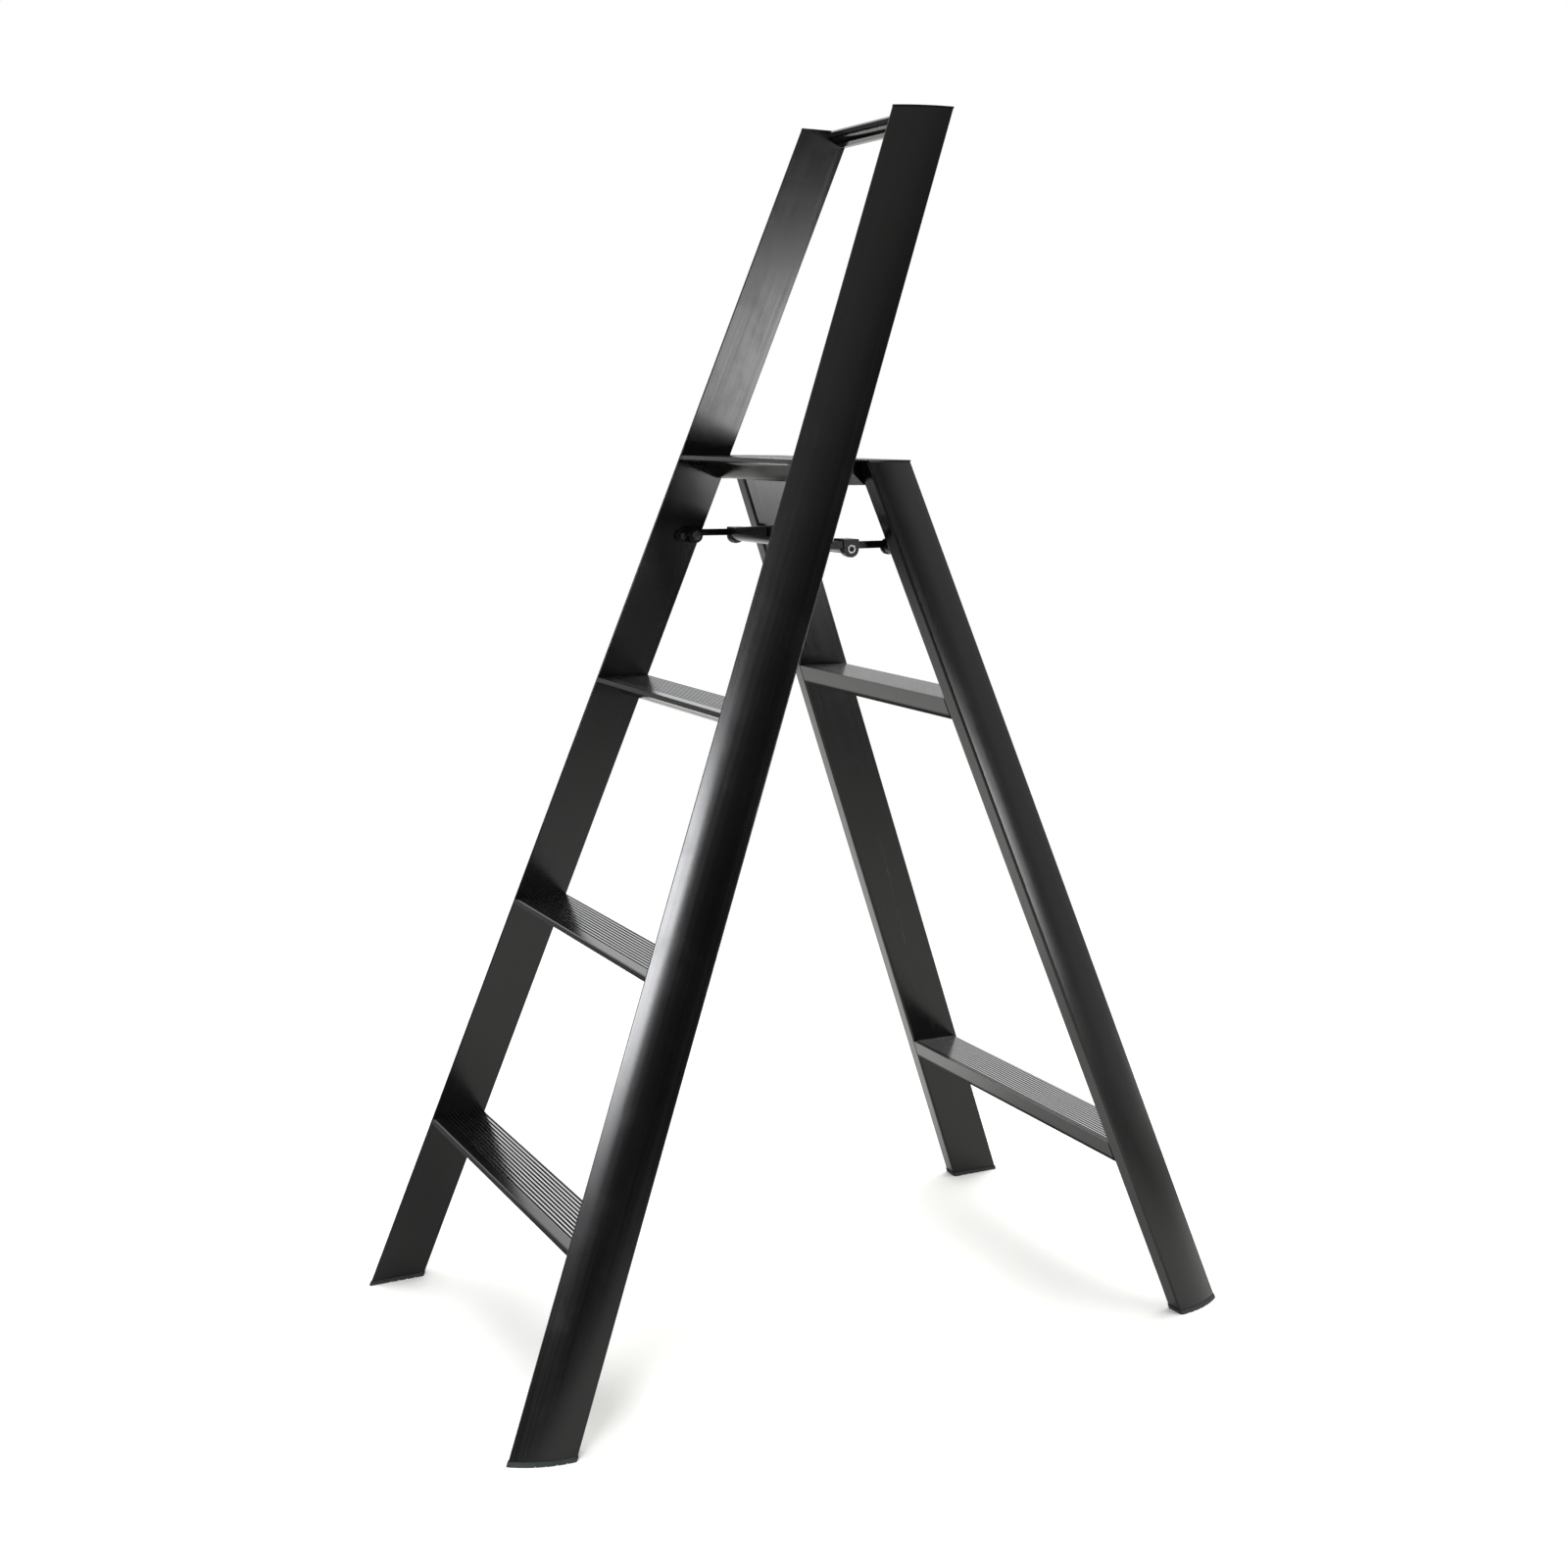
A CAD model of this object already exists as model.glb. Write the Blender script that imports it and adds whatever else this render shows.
"""Folding platform step ladder: finishes, floor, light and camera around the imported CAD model.

The ladder stands on Z = 0 with its width along X, +X on its right, and its front towards -Y.
Lengths are in metres.
"""
import math

import bpy
from mathutils import Matrix, Vector

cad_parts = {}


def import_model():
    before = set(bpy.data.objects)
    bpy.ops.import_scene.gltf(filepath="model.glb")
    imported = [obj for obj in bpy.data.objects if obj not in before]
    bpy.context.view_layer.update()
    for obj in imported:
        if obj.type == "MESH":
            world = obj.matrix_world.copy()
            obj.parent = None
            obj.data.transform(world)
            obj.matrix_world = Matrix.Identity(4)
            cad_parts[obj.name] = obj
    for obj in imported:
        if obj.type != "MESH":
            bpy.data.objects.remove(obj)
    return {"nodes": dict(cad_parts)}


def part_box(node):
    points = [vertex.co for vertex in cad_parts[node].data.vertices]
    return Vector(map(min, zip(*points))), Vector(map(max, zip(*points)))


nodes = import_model()["nodes"]
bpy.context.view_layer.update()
scene = bpy.context.scene

# ---------------------------------------------------------------- model dimensions

# run of the stiles in Y (lean) and X (taper) for each metre of height
FRONT_LEAN, FRONT_TAPER = 0.361, 0.099
REAR_LEAN, REAR_TAPER = 0.388, 0.0925

# axes of the pins that lie along X, as (y, z)
KNEE = (-0.0122, 0.883)
STAY_PINS = ((-0.064, 0.884), (0.0375, 0.885))
HINGE = (0.011, 0.962)
KNEE_BORE, STAY_BORE = 0.0029, 0.0018

TREADS = ("tread_1", "tread_2", "tread_3", "platform")
RUNGS = ("rear_rung_lower", "rear_rung_upper")

# standing faces: ribs and first groove measured back from the front edge, and amount of shoe wear
TREAD_RIBS = {"start": 0.0142, "groove": 0.0161, "walked": 0.3}
RUNG_RIBS = {"start": 0.0063, "groove": 0.0067, "walked": 0.15}
REAR_MARGIN = 0.0014  # from the end of the ribs to the back edge
RIB_FADE = 0.0012
GROOVE_PITCH = 0.0046

# ---------------------------------------------------------------- shader graphs

NOISE_MIDDLE = (0.3, 0.7)  # the range that holds most of a noise texture's values


class Graph:
    """Short ways to add nodes to a tree. Values may be numbers, RGB or XYZ tuples, or sockets."""

    def __init__(self, owner, clear=True):
        owner.use_nodes = True
        self.tree = owner.node_tree
        if clear:
            self.tree.nodes.clear()

    def put(self, socket, value):
        if isinstance(value, bpy.types.NodeSocket):
            self.tree.links.new(value, socket)
        else:
            socket.default_value = (*value, 1.0) if socket.type == "RGBA" else value

    def node(self, kind, inputs=None, **props):
        node = self.tree.nodes.new(kind)
        for key, value in props.items():
            setattr(node, key, value)
        for key, value in (inputs or {}).items():
            self.put(node.inputs[key], value)
        return node

    def calc(self, operation, *values):
        return self.node("ShaderNodeMath", dict(enumerate(values)), operation=operation).outputs[0]

    def add(self, a, b):
        return self.calc("ADD", a, b)

    def sub(self, a, b):
        return self.calc("SUBTRACT", a, b)

    def mul(self, result, *others):
        for other in others:
            result = self.calc("MULTIPLY", result, other)
        return result

    def raised(self, value, mask, by):
        return self.add(value, self.mul(mask, by))

    def lowered(self, value, mask, by):
        return self.sub(value, self.mul(mask, by))

    def vector(self, operation, *values):
        """A vector operation that gives a number."""
        node = self.node("ShaderNodeVectorMath", dict(enumerate(values)), operation=operation)
        return node.outputs["Value"]

    def dot(self, a, b):
        return self.vector("DOT_PRODUCT", a, b)

    def xyz(self, position):
        return self.node("ShaderNodeSeparateXYZ", {0: position}).outputs

    def ramp(self, value, over=NOISE_MIDDLE, to=(0.0, 1.0)):
        """Smooth step of value across one range, giving the other range."""
        inputs = {"Value": value, "From Min": over[0], "From Max": over[1],
                  "To Min": to[0], "To Max": to[1]}
        node = self.node("ShaderNodeMapRange", inputs, interpolation_type="SMOOTHSTEP")
        return node.outputs["Result"]

    def mix(self, mask, off, on, amount=None):
        """Colour off where the mask is 0, on where it is 1; amount scales the mask."""
        if amount is not None:
            mask = self.mul(mask, amount)
        return self.node("ShaderNodeMix", {"Factor": mask, 6: off, 7: on},
                         data_type="RGBA").outputs[2]

    def blend(self, mask, off, on):
        """Number off where the mask is 0, on where it is 1."""
        return self.node("ShaderNodeMix", {"Factor": mask, 2: off, 3: on},
                         data_type="FLOAT").outputs[0]


class Finish(Graph):
    """A Principled material whose textures live in the object's own rest coordinates."""

    def __init__(self, name):
        self.material = bpy.data.materials.new(name)
        super().__init__(self.material, clear=False)
        self.place = self.node("ShaderNodeTexCoord").outputs["Object"]
        self.normal = None

    def grain(self, axis, along, across):
        """Coordinates stretched along an axis, for drawn or brushed lines."""
        length = Vector(axis).normalized()
        side = length.orthogonal().normalized()
        other = length.cross(side)
        scaled = ((length, along), (side, across), (other, across))
        parts = [self.dot(self.place, tuple(way * scale)) for way, scale in scaled]
        return self.node("ShaderNodeCombineXYZ", dict(enumerate(parts))).outputs[0]

    def noise(self, scale=1.0, detail=2.0, rough=0.5, at=None, warp=0.0):
        inputs = {"Vector": self.place if at is None else at, "Scale": scale, "Detail": detail,
                  "Roughness": rough, "Distortion": warp}
        return self.node("ShaderNodeTexNoise", inputs).outputs[0]

    def cells(self, scale):
        inputs = {"Vector": self.place, "Scale": scale}
        return self.node("ShaderNodeTexVoronoi", inputs, feature="F1").outputs["Distance"]

    def soften(self, radius):
        """Rounds hard edges in shading by this radius, and returns a mask of those edges."""
        self.normal = self.node("ShaderNodeBevel", {"Radius": radius}, samples=3).outputs[0]
        flat = self.node("ShaderNodeNewGeometry").outputs["Normal"]
        return self.ramp(self.sub(1.0, self.dot(self.normal, flat)), over=(0.02, 0.26))

    def bump(self, height, distance):
        inputs = {"Height": height, "Distance": distance, "Strength": 1.0}
        if self.normal is not None:
            inputs["Normal"] = self.normal
        self.normal = self.node("ShaderNodeBump", inputs).outputs[0]

    def done(self, colour, rough, metallic=0.0, ior=1.5, spec=0.5):
        inputs = {"Base Color": colour, "Roughness": rough, "Metallic": metallic,
                  "IOR": ior, "Specular IOR Level": spec}
        if self.normal is not None:
            inputs["Normal"] = self.normal
        for key, value in inputs.items():
            self.put(self.tree.nodes["Principled BSDF"].inputs[key], value)
        return self.material


def grey(value, blue=1.0):
    return (value, value, value * blue)


def shade(colour, factor):
    return tuple(channel * factor for channel in colour)


# ---------------------------------------------------------------- finishes


def standing_face(m, colour, rough, crest, ribs_y, groove_y, walked):
    """Shoe wear, bright crowns and dusty grooves on ribs whose tops are at height crest.
    Returns colour, roughness and specular level."""
    x, y, z = m.xyz(m.place)
    top = m.ramp(z, over=(crest - 0.0007, crest - 0.0001))
    first, last = ribs_y
    ribs = m.mul(m.ramp(y, over=(first, first + RIB_FADE)),
                 m.ramp(y, over=(last, last + RIB_FADE), to=(1.0, 0.0)))

    # rubbed by shoes, most of all in the middle of the width
    middle = m.ramp(m.calc("ABSOLUTE", x), over=(0.15, 0.03))
    scrape = m.noise(detail=3.0, rough=0.65, at=m.grain((0.25, 1, 0), along=14.0, across=420.0))
    middle_share, even_share = 0.7, 0.3
    rubbed = m.mul(top, m.ramp(scrape, over=(0.45, 0.75)),
                   m.add(m.mul(middle, middle_share), even_share), walked, ribs)
    colour = m.mix(rubbed, colour, on=(0.022, 0.022, 0.021))
    rough = m.raised(rough, rubbed, by=0.08)

    # the rounded crest of each rib catches the light in a narrow line
    phase = m.calc("FRACT", m.calc("DIVIDE", m.sub(y, groove_y), GROOVE_PITCH))
    crown = m.ramp(m.calc("ABSOLUTE", m.sub(phase, 0.5)), over=(0.17, 0.29), to=(1.0, 0.0))
    spec = m.blend(ribs, off=0.085, on=m.blend(m.mul(top, crown), off=0.003, on=0.9))

    # dull, dusty band below the crests
    below = m.mul(m.ramp(z, over=(crest - 0.0009, crest - 0.0004), to=(1.0, 0.0)),
                  m.ramp(z, over=(crest - 0.0030, crest - 0.0018)), ribs)
    patches = m.noise(scale=700.0, detail=3.0, rough=0.6)
    dust = m.mul(below, m.ramp(patches, over=(0.45, 0.75), to=(0.0, 0.4)))
    colour = m.mix(dust, colour, on=(0.007, 0.007, 0.0065))
    return colour, m.blend(below, rough, on=0.62), m.blend(below, spec, on=0.0)


def extrusion(name, axis, base, rough, face=None):
    """Black anodised aluminium extrusion: die lines along its length, fine anodised grain,
    broad tone changes and slight wear on its edges. face describes a ribbed standing face."""
    m = Finish(name)
    edge = m.soften(radius=0.0005)
    lines = m.noise(detail=3.0, rough=0.6, at=m.grain(axis, along=1.3, across=330.0))
    fine = m.noise(detail=2.0, rough=0.7, at=m.grain(axis, along=9.0, across=1500.0))
    tone = m.noise(scale=5.5, detail=3.0, rough=0.55, warp=0.4)
    handled = m.noise(scale=23.0, detail=4.0, rough=0.62)
    speck = m.noise(scale=2600.0, detail=2.0, rough=0.7)

    colour = m.mix(m.ramp(tone), off=grey(base * 0.72), on=grey(base * 1.35))
    colour = m.mix(m.ramp(lines, over=(0.42, 0.74), to=(0.0, 0.35)), colour, on=grey(base * 2.2))
    colour = m.mix(m.ramp(speck, over=(0.62, 0.8), to=(0.0, 0.30)), colour,
                   on=grey(base * 3.0 + 0.002))
    rough = m.add(rough, m.ramp(lines, over=(0.25, 0.75), to=(-0.022, 0.028)))
    rough = m.add(rough, m.ramp(fine, to=(-0.016, 0.016)))
    rough = m.add(rough, m.ramp(handled, over=(0.46, 0.72), to=(0.0, 0.035)))

    worn = m.mul(edge, m.ramp(m.noise(scale=160.0, detail=3.0, rough=0.6), over=(0.44, 0.64)))
    colour = m.mix(worn, colour, on=(0.10, 0.10, 0.102), amount=0.5)
    rough = m.raised(rough, worn, by=0.10)

    ior, spec, speck_height = 1.5, 0.5, 0.6
    if face:
        ior, speck_height = 3.0, 0.1
        colour, rough, spec = standing_face(m, colour, rough, **face)
    m.bump(lines, distance=0.000018)
    m.bump(m.raised(fine, speck, by=speck_height), distance=0.000004)
    return m.done(colour, rough, ior=ior, spec=spec)


def moulded(name, base, rough):
    """Black moulded plastic: fine spark-eroded skin, faint flow marks and polished edges."""
    m = Finish(name)
    edge = m.soften(radius=0.0005)
    skin = m.noise(scale=2100.0, detail=3.0, rough=0.65)
    pits = m.cells(scale=1500.0)
    flow = m.noise(scale=26.0, detail=4.0, rough=0.6, warp=1.2)
    colour = m.mix(m.ramp(flow), off=grey(base * 0.8), on=grey(base * 1.5, blue=1.03))
    colour = m.mix(m.ramp(skin, over=(0.55, 0.8), to=(0.0, 0.35)), colour, on=grey(base * 2.6))
    rough = m.add(rough, m.ramp(skin, to=(-0.05, 0.05)))
    rough = m.add(rough, m.ramp(flow, over=(0.35, 0.7), to=(-0.03, 0.03)))
    rough = m.lowered(rough, edge, by=0.08)
    polish = m.ramp(m.noise(scale=210.0), over=(0.45, 0.62), to=(0.0, 0.35))
    colour = m.mix(m.mul(edge, polish), colour, on=grey(0.02))
    m.bump(m.raised(skin, pits, by=0.7), distance=0.000012)
    return m.done(colour, rough, spec=0.38)


def rubber(name):
    """Black rubber foot: matt bloom, moulding grain, dust and scuffs low down."""
    m = Finish(name)
    edge = m.soften(radius=0.0006)
    skin = m.noise(scale=900.0, detail=4.0, rough=0.7)
    bloom = m.noise(scale=46.0, detail=4.0, rough=0.62, warp=0.8)
    colour = m.mix(m.ramp(bloom, over=(0.3, 0.72)),
                   off=(0.0085, 0.0115, 0.0128), on=(0.0165, 0.0215, 0.0235))
    _, _, z = m.xyz(m.place)
    low = m.ramp(z, over=(0.0002, 0.0042), to=(1.0, 0.0))
    patches = m.noise(scale=330.0, detail=4.0, rough=0.7)
    dust = m.mul(low, m.ramp(patches, over=(0.42, 0.7)))
    colour = m.mix(dust, colour, on=(0.075, 0.074, 0.070), amount=0.45)
    scuff = m.mul(edge, m.ramp(skin, over=(0.4, 0.62), to=(0.0, 0.5)))
    colour = m.mix(scuff, colour, on=(0.034, 0.040, 0.042))
    m.bump(skin, distance=0.00005)
    return m.done(colour, m.calc("ADD", 0.62, m.ramp(skin, to=(-0.06, 0.07))), ior=1.52)


def painted_steel(name, base, rough):
    """Pressed steel under a black paint coat: soft orange peel, small chips on the edges."""
    m = Finish(name)
    edge = m.soften(radius=0.0005)
    peel = m.noise(scale=420.0, detail=2.0, rough=0.5)
    speck = m.noise(scale=2400.0, detail=2.0, rough=0.7)
    tone = m.noise(scale=60.0, detail=3.0, rough=0.6)
    colour = m.mix(m.ramp(tone), off=grey(base * 0.75), on=grey(base * 1.4))
    chip = m.mul(edge, m.ramp(m.noise(scale=520.0, detail=3.0, rough=0.7), over=(0.55, 0.62)))
    colour = m.mix(chip, colour, on=(0.12, 0.118, 0.115), amount=0.16)
    rough = m.add(rough, m.ramp(peel, to=(-0.03, 0.04)))
    rough = m.raised(rough, chip, by=0.08)
    m.bump(m.raised(peel, speck, by=0.1), distance=0.000006)
    return m.done(colour, rough, spec=0.12)


RING_PITCH = 0.00045
BORE_BLUR = 0.00012


def turned(name, colour, rough, metallic=1.0, centres=(), bore=None):
    """Turned or plated metal: plating bloom, dull edges, and fine rings about the (y, z) centres.
    Inside bore metres of an axis the recess is unplated and oily dark."""
    m = Finish(name)
    edge = m.soften(radius=0.0003)
    bloom = m.noise(scale=240.0, detail=4.0, rough=0.65, warp=0.5)
    height = m.noise(scale=3200.0, detail=2.0, rough=0.6)
    tint = m.mix(m.ramp(bloom), off=shade(colour, 0.78), on=shade(colour, 1.12))
    rough = m.add(rough, m.ramp(bloom, to=(-0.05, 0.07)))
    if centres:
        _, y, z = m.xyz(m.place)
        nearest = None
        for centre_y, centre_z in centres:
            dy, dz = m.sub(y, centre_y), m.sub(z, centre_z)
            squared = m.add(m.mul(dy, dy), m.mul(dz, dz))
            nearest = squared if nearest is None else m.calc("MINIMUM", nearest, squared)
        radius = m.calc("SQRT", nearest)
        rings = m.calc("SINE", m.mul(radius, 2 * math.pi / RING_PITCH))
        ring_height = 0.6
        height = m.add(m.mul(rings, ring_height), height)
        rough = m.raised(rough, rings, by=0.03)
        if bore:
            inside = m.ramp(radius, over=(bore + BORE_BLUR, bore - BORE_BLUR))
            tint = m.mix(inside, tint, on=grey(0.003))
            metallic = m.blend(inside, metallic, on=0.0)
            rough = m.blend(inside, rough, on=0.55)
    tint = m.mix(edge, tint, on=shade(colour, 0.6), amount=0.35)
    m.bump(height, distance=0.000006)
    return m.done(tint, rough, metallic)


def cast(name):
    """Raw die cast aluminium: grey, dull, with a fine flow texture."""
    m = Finish(name)
    edge = m.soften(radius=0.0004)
    skin = m.noise(scale=520.0, detail=5.0, rough=0.7)
    flow = m.noise(scale=70.0, detail=4.0, rough=0.6, warp=1.5)
    colour = m.mix(m.ramp(flow), off=(0.26, 0.26, 0.265), on=(0.44, 0.44, 0.445))
    colour = m.mix(edge, colour, on=grey(0.6), amount=0.5)
    m.bump(skin, distance=0.00006)
    return m.done(colour, m.calc("ADD", 0.46, m.ramp(skin, to=(-0.08, 0.10))), metallic=1.0)


def nylon(name):
    """Natural nylon bush: creamy, slightly waxy, with patches darkened by graphite."""
    m = Finish(name)
    smear = m.noise(scale=300.0, detail=4.0, rough=0.65, warp=0.6)
    skin = m.noise(scale=1800.0, detail=2.0, rough=0.6)
    colour = m.mix(m.ramp(smear, over=(0.42, 0.75)), off=(0.52, 0.50, 0.44), on=(0.20, 0.19, 0.17))
    m.bump(skin, distance=0.00002)
    return m.done(colour, m.ramp(skin, to=(0.38, 0.5)), ior=1.53)


# finishes made for one piece each, by piece name
own_finish = {}
for end, lean, taper in (("front", FRONT_LEAN, FRONT_TAPER), ("rear", -REAR_LEAN, REAR_TAPER)):
    for side, inward in (("right", -1), ("left", 1)):
        own_finish[f"{end}_stile_{side}"] = extrusion(
            f"anodised_{end}_{side}", (inward * taper, lean, 1), base=0.0021, rough=0.205)
own_finish["handle_bar"] = extrusion("anodised_rail", (1, 0, 0), base=0.0030, rough=0.21)
own_finish["lock_bar"] = extrusion("anodised_lock_bar", (1, 0, 0), base=0.0035, rough=0.22)
for piece in TREADS + RUNGS:
    low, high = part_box(piece)
    layout = RUNG_RIBS if piece in RUNGS else TREAD_RIBS
    own_finish[piece] = extrusion(
        "anodised_" + piece, (1, 0, 0), base=0.0034, rough=0.215 if piece == "platform" else 0.16,
        face={"crest": high.z,
              "ribs_y": (low.y + layout["start"], high.y - REAR_MARGIN),
              "groove_y": low.y + layout["groove"],
              "walked": layout["walked"]})

plastic = moulded("moulded_black", base=0.0022, rough=0.34)
feet = rubber("foot_rubber")
steel = painted_steel("painted_steel", base=0.0020, rough=0.28)
rivet_black = turned("black_fastener", grey(0.0035), rough=0.36, metallic=0.0,
                     centres=STAY_PINS, bore=STAY_BORE)
pin_black = turned("black_pin", grey(0.0035), rough=0.30, metallic=0.0,
                   centres=STAY_PINS, bore=STAY_BORE)
knee_steel = turned("knee_pin_steel", (0.20, 0.20, 0.205), rough=0.34,
                    centres=(KNEE,), bore=KNEE_BORE)
zinc = turned("zinc_steel", (0.52, 0.52, 0.50), rough=0.34)
hinge_steel = turned("hinge_steel", grey(0.42), rough=0.30, centres=(HINGE,))
die_cast = cast("die_cast")
bush = nylon("bush_nylon")


def finish_of(piece):
    """The finish of a piece, from the words in its name; the first match wins."""
    if piece in own_finish:
        return own_finish[piece]
    if "foot" in piece:
        return feet
    if "connector" in piece:
        return die_cast
    if "bush" in piece:
        return bush
    if piece.startswith("knee_pin"):
        return knee_steel
    if piece.startswith("hinge_pin"):
        return hinge_steel
    if piece.startswith("stay_pin") or piece == "platform_bolts":
        return pin_black
    if "rivets" in piece:
        return rivet_black
    if "screws" in piece or "bolts" in piece:
        return zinc
    if "cap" in piece or "plug" in piece or "grip" in piece:
        return plastic
    return steel


for piece, obj in nodes.items():
    for slot in obj.material_slots:
        slot.link = "OBJECT"
        slot.material = finish_of(piece)

# ---------------------------------------------------------------- floor and backdrop

FLOOR_RADII = (0, 0.6, 1.2, 2.2, 3.4, 4.6)
COVE_RADIUS, COVE_STEPS = 2.4, 16
WALL_HEIGHTS = (5.0, 9.0)


def revolve(name, profile, segments=128):
    """A surface of revolution about Z through (radius, height) points, facing inwards and up.
    A first point of radius 0 closes the centre."""
    points, faces = [], []
    if profile[0][0] == 0:
        points.append((0, 0, profile[0][1]))
        profile = profile[1:]
        faces = [(0, 1 + k, 1 + (k + 1) % segments) for k in range(segments)]
    start = len(points)
    for radius, z in profile:
        for k in range(segments):
            angle = 2 * math.pi * k / segments
            points.append((radius * math.cos(angle), radius * math.sin(angle), z))
    for j in range(len(profile) - 1):
        inner = start + j * segments
        outer = inner + segments
        for k in range(segments):
            after = (k + 1) % segments
            faces.append((inner + k, outer + k, outer + after, inner + after))
    mesh = bpy.data.meshes.new(name)
    mesh.from_pydata(points, [], faces)
    mesh.shade_smooth()
    obj = bpy.data.objects.new(name, mesh)
    scene.collection.objects.link(obj)
    return obj


def floor_finish():
    """Pale floor that bounces light unevenly but looks evenly pale to the camera."""
    material = bpy.data.materials.new("floor_pale")
    g = Graph(material)
    place = g.node("ShaderNodeNewGeometry").outputs["Position"]
    _, y, _ = g.xyz(place)
    to_camera = g.node("ShaderNodeLightPath").outputs["Is Camera Ray"]
    # bounce: a pool by the ladder, the -X side, and the floor far to the rear
    pool = g.ramp(g.vector("DISTANCE", place, (0.35, 0.20, 0.0)), over=(0.3, 2.2), to=(0.62, 0.05))
    beyond = g.mul(g.ramp(g.dot(place, (-1.0, 0.10, 0.0)), over=(0.0, 0.5)),
                   g.ramp(y, over=(-0.9, 0.1), to=(0.45, 1.0)))
    bounce = g.calc("MAXIMUM", pool, beyond)
    bounce = g.calc("MAXIMUM", bounce, g.ramp(y, over=(1.5, 3.0), to=(0.0, 0.6)))
    bounce = g.calc("MAXIMUM", bounce, to_camera)
    tint = g.mix(bounce, off=grey(0.0), on=(0.84, 0.84, 0.835))
    diffuse = g.node("ShaderNodeBsdfDiffuse", {"Color": tint}).outputs[0]
    # seen directly, the floor melts into the backdrop away from the ladder
    white = g.mul(g.ramp(g.vector("LENGTH", place), over=(0.9, 2.6)), to_camera)
    glow = g.node("ShaderNodeEmission", {"Color": grey(1.0)}).outputs[0]
    melt = g.node("ShaderNodeMixShader", {0: white, 1: diffuse, 2: glow}).outputs[0]
    g.node("ShaderNodeOutputMaterial", {0: melt})
    return material


def backdrop_finish():
    material = bpy.data.materials.new("backdrop_pale")
    g = Graph(material)
    glow = g.node("ShaderNodeEmission", {"Color": grey(1.0), "Strength": 1.0}).outputs[0]
    g.node("ShaderNodeOutputMaterial", {0: glow})
    return material


floor = revolve("floor", [(radius, 0) for radius in FLOOR_RADII])
cove = []
for i in range(COVE_STEPS + 1):
    angle = math.pi / 2 * i / COVE_STEPS
    cove.append((FLOOR_RADII[-1] + COVE_RADIUS * math.sin(angle),
                 COVE_RADIUS - COVE_RADIUS * math.cos(angle)))
wall_radius = FLOOR_RADII[-1] + COVE_RADIUS
wall = revolve("backdrop", cove + [(wall_radius, z) for z in WALL_HEIGHTS])
floor.data.materials.append(floor_finish())
wall.data.materials.append(backdrop_finish())
# the backdrop is there for the camera only
wall.visible_glossy = False
wall.visible_diffuse = False
wall.visible_shadow = False
wall.visible_transmission = False

# ---------------------------------------------------------------- world


def build_world():
    """A bright sweep behind the ladder as the camera sees it, a lit wall on the camera's right,
    a dark room on the camera's side, and a soft ceiling."""
    world = bpy.data.worlds.new("world")
    scene.world = world
    g = Graph(world)
    direction = g.node("ShaderNodeTexCoord").outputs["Generated"]

    def facing(way, over):
        return g.ramp(g.dot(direction, way), over=over)

    round_wall = facing((-0.766, 0.643, 0.0), over=(-0.25, 0.30))
    sweep = facing((-0.95, 0.31, 0.0), over=(0.60, 0.90))
    corner = facing((-0.26, 0.966, 0.0), over=(0.80, 0.97))
    left = facing((-0.72, -0.69, 0.0), over=(0.50, 0.95))
    wall_height = facing((0, 0, 1), over=(0.75, 0.35))
    ceiling = facing((0, 0, 1), over=(0.14, 0.52))

    wall_level, room_level, ceiling_level = 0.48, 0.02, 0.38
    level = g.mul(round_wall, g.lowered(wall_level, corner, by=0.15))
    level = g.raised(level, sweep, by=0.70)
    level = g.mul(level, g.lowered(1.0, left, by=0.6), wall_height)
    level = g.add(level, room_level)
    walls = g.node("ShaderNodeBackground", {"Color": (0.985, 0.99, 1.0), "Strength": level})
    above = g.node("ShaderNodeBackground", {"Color": (1.0, 1.01, 0.97),
                                            "Strength": g.mul(ceiling, ceiling_level)})
    both = g.node("ShaderNodeAddShader", {0: walls.outputs[0], 1: above.outputs[0]})
    g.node("ShaderNodeOutputWorld", {0: both.outputs[0]})


build_world()

# ---------------------------------------------------------------- lights


def area(name, place, target, size, power, shape="RECTANGLE", colour=(1, 1, 1)):
    light = bpy.data.lights.new(name, "AREA")
    light.color = colour
    light.shape = shape
    light.size, light.size_y = size
    light.energy = power
    obj = bpy.data.objects.new(name, light)
    scene.collection.objects.link(obj)
    obj.location = place
    obj.rotation_mode = "QUATERNION"
    obj.rotation_quaternion = (Vector(target) - Vector(place)).to_track_quat("-Z", "Y")
    obj.visible_camera = False
    return obj


def polar(origin, azimuth, elevation, distance):
    """A point at this distance from origin; azimuth is measured from +X, angles in degrees."""
    a, e = math.radians(azimuth), math.radians(elevation)
    way = Vector((math.cos(e) * math.cos(a), math.cos(e) * math.sin(a), math.sin(e)))
    return Vector(origin) + distance * way


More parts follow.
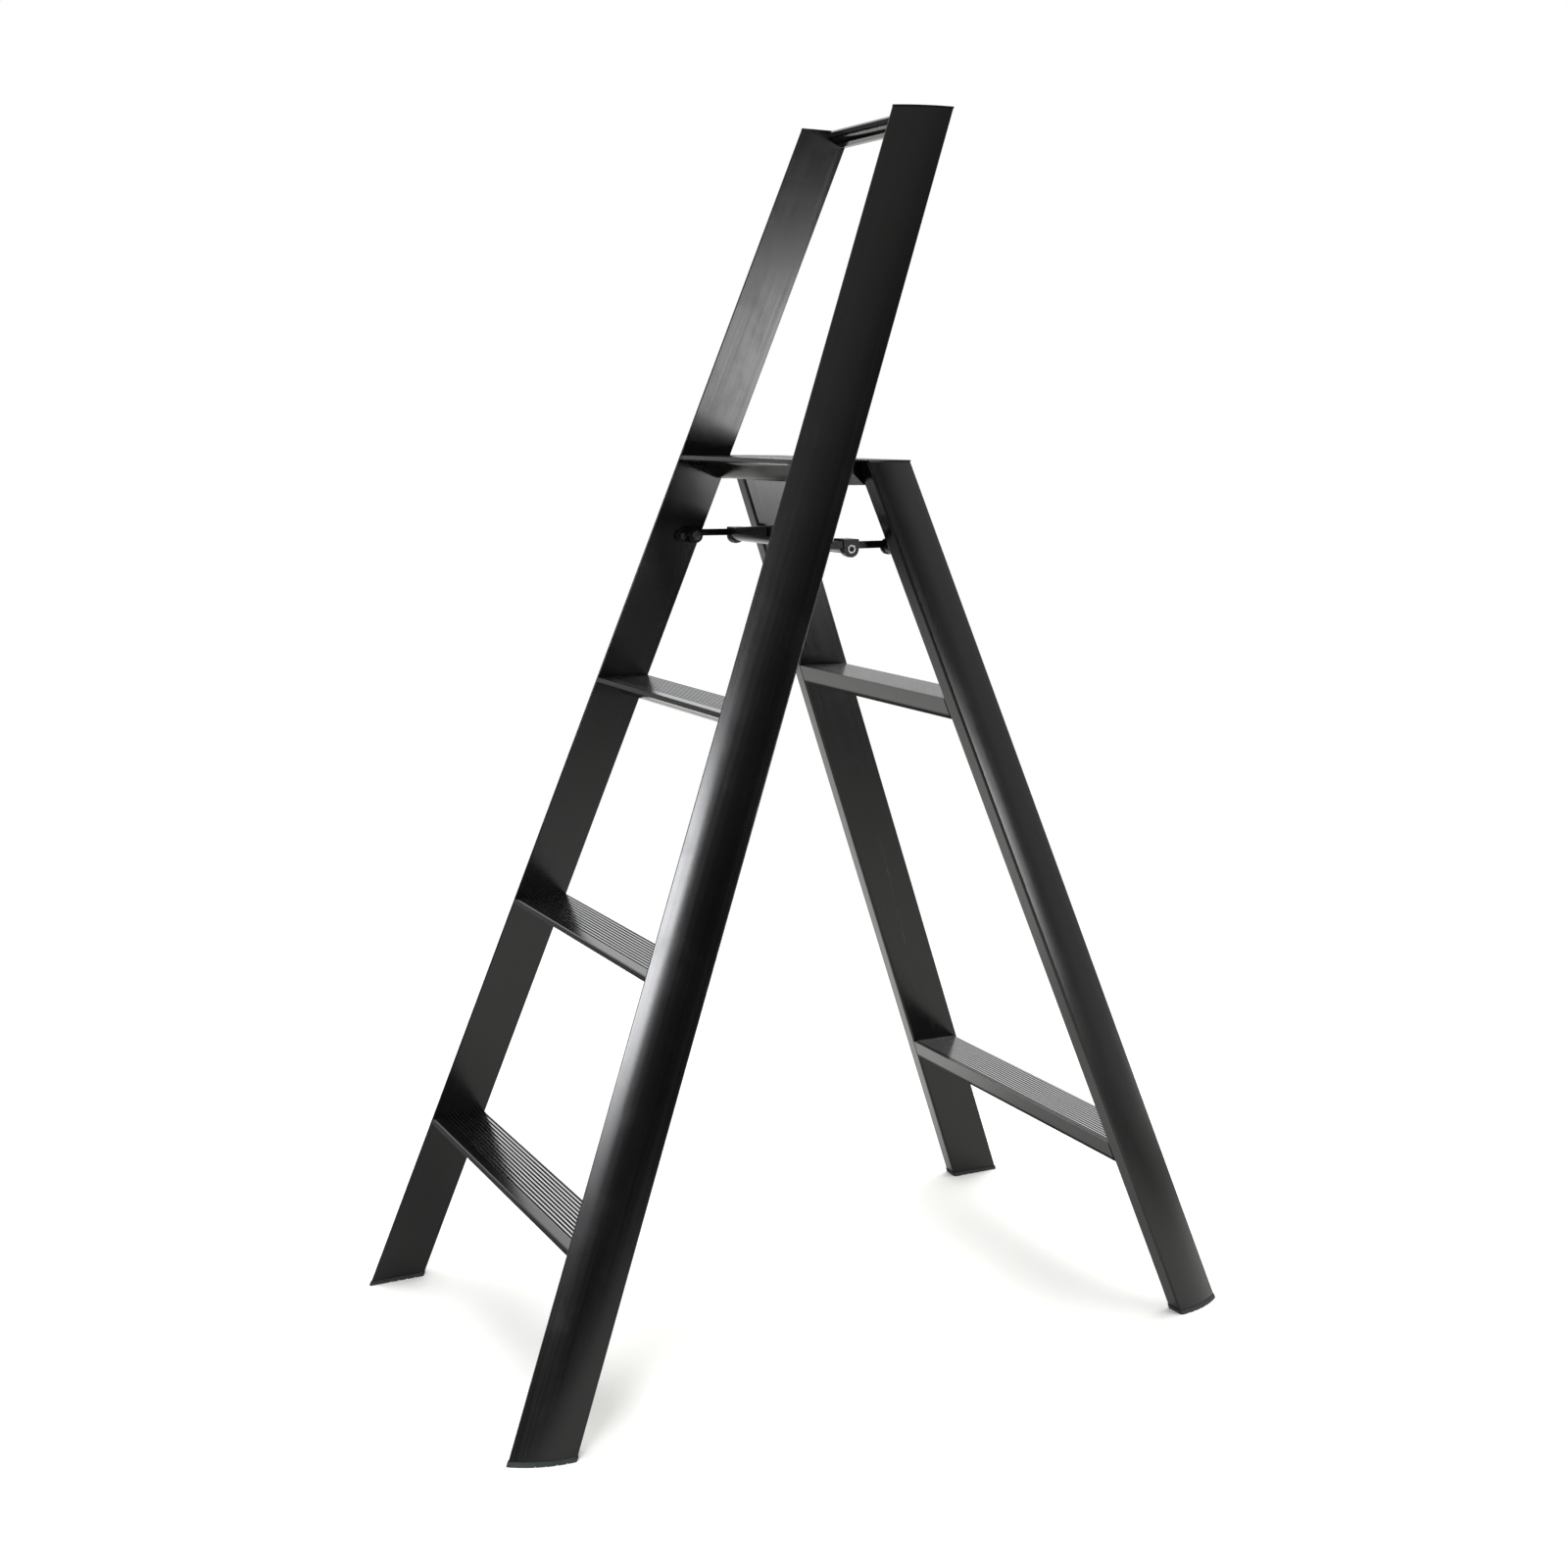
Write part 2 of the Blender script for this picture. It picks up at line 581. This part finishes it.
# softbox left of the camera
KEY_TARGET = (0.24, -0.25, 0.5)
key = area("softbox_front", polar(KEY_TARGET, azimuth=-43.5, elevation=17, distance=2.2),
           KEY_TARGET, size=(0.80, 0.76), power=37.5, shape="ELLIPSE", colour=(0.96, 0.97, 1.0))
# the key light is flagged off the steps, whose tops would mirror it as burnt patches,
# and off the lock bar and the caps
flagged = bpy.data.collections.new("flagged_from_key")
for piece, obj in nodes.items():
    if piece in TREADS + RUNGS or piece.startswith("lock_bar") or "_cap" in piece:
        flagged.objects.link(obj)
key.light_linking.receiver_collection = flagged
for member in flagged.collection_objects:
    member.light_linking.link_state = "EXCLUDE"

# softbox towards the rear, on the camera's right
area("softbox_rear", (2.65, 1.75, 0.56), target=(0.0, 0.0, 0.8), size=(1.0, 0.52), power=21)
overhead = area("overhead", (-0.6, 0.4, 5.0), target=(0, 0, 0), size=(5.0, 5.0), power=420,
                colour=(1.0, 1.0, 0.965))
overhead.visible_glossy = False

# ---------------------------------------------------------------- camera

CAMERA_PLACE = (2.07612, -1.07609, 1.011203)
# azimuth turns from +Y towards -X; a negative elevation looks down
AZIMUTH, ELEVATION, ROLL = math.radians(61.725), math.radians(-6.054), math.radians(0.617)

cam_data = bpy.data.cameras.new("camera")
cam = bpy.data.objects.new("camera", cam_data)
scene.collection.objects.link(cam)
ahead = Vector((-math.sin(AZIMUTH) * math.cos(ELEVATION),
                math.cos(AZIMUTH) * math.cos(ELEVATION),
                math.sin(ELEVATION)))
level_right = Vector((math.cos(AZIMUTH), math.sin(AZIMUTH), 0))
level_up = level_right.cross(ahead)
cos_roll, sin_roll = math.cos(ROLL), math.sin(ROLL)
right = cos_roll * level_right + sin_roll * level_up
up = -sin_roll * level_right + cos_roll * level_up
cam.matrix_world = Matrix((*zip(right, up, -ahead, CAMERA_PLACE), (0, 0, 0, 1)))
# sensor and lens in millimetres, shifts as fractions of the sensor width
cam_data.sensor_width = 36
cam_data.lens = 47.4372675
cam_data.shift_x = -0.029008125
cam_data.shift_y = -0.087260625
cam_data.clip_start, cam_data.clip_end = 0.05, 60
scene.camera = cam

scene.view_settings.view_transform = "Standard"
scene.cycles.max_bounces = 5
scene.cycles.diffuse_bounces = 2
scene.cycles.glossy_bounces = 4
